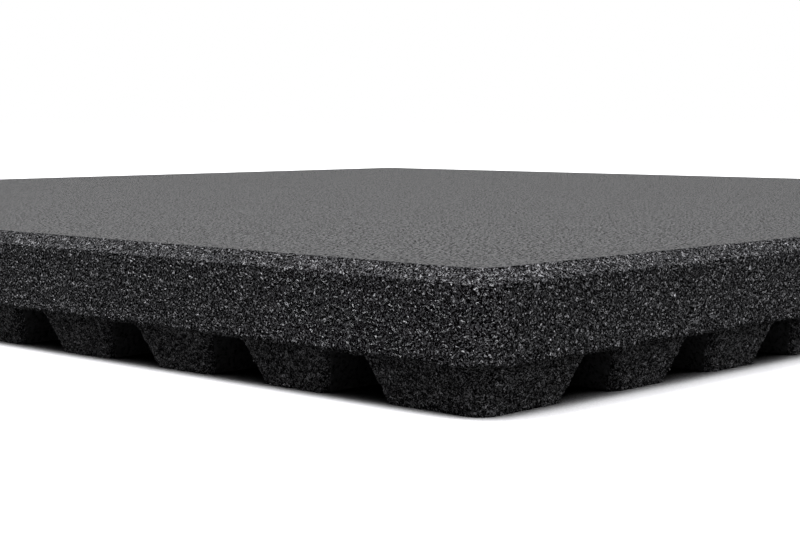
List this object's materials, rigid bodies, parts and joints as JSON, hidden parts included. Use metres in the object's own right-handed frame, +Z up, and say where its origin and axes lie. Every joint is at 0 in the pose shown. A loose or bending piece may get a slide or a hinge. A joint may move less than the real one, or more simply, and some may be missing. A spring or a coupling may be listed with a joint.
{
  "type": "rubber gym floor tile",
  "caption": "Square moulded crumb-rubber floor tile with a bevelled top edge, standing on a grid of tapered feet with open grooves between them.",
  "frame": {"origin": "on the floor plane, under the middle of the tile", "axes": "+Z up out of the walking surface, X and Y along the tile's sides"},
  "size_m": [0.5, 0.5, 0.03],
  "materials": {
    "crumb_rubber": "matte black moulded crumb rubber with a granular, porous surface"
  },
  "bodies": {
    "root": {"rubber_tile": "crumb_rubber"}
  },
  "joints": []
}
